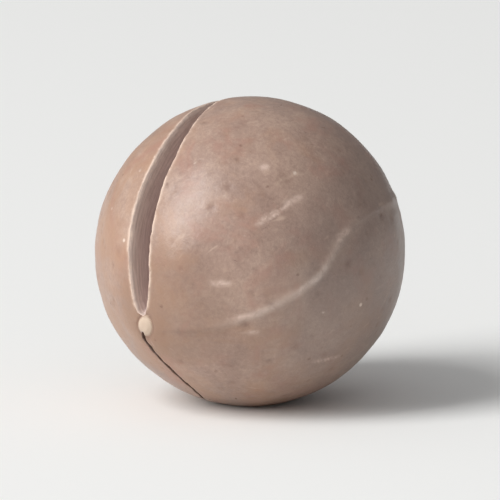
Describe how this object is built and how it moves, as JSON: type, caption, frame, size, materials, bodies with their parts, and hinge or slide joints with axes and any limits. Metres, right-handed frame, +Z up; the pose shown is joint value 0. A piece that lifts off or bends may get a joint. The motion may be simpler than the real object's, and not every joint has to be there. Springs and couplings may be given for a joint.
{
  "type": "macadamia nut in shell",
  "caption": "Round macadamia nut in its woody brown shell, sawn with a crescent slit that runs into a pale micropyle and a hairline crack; it rests on a small flat spot.",
  "frame": {"origin": "middle of the bottom of the nut's box, on the flat spot it rests on", "axes": "+Z up; -Y is the front, where the slit and the suture show; +X is to the viewer's right"},
  "size_m": [0.023, 0.023, 0.0228],
  "materials": {
    "nut_shell": "satin, waxy milk-brown shell with soft mottling and pale flecks"
  },
  "bodies": {
    "root": {"macadamia_nut": "nut_shell"}
  },
  "joints": []
}
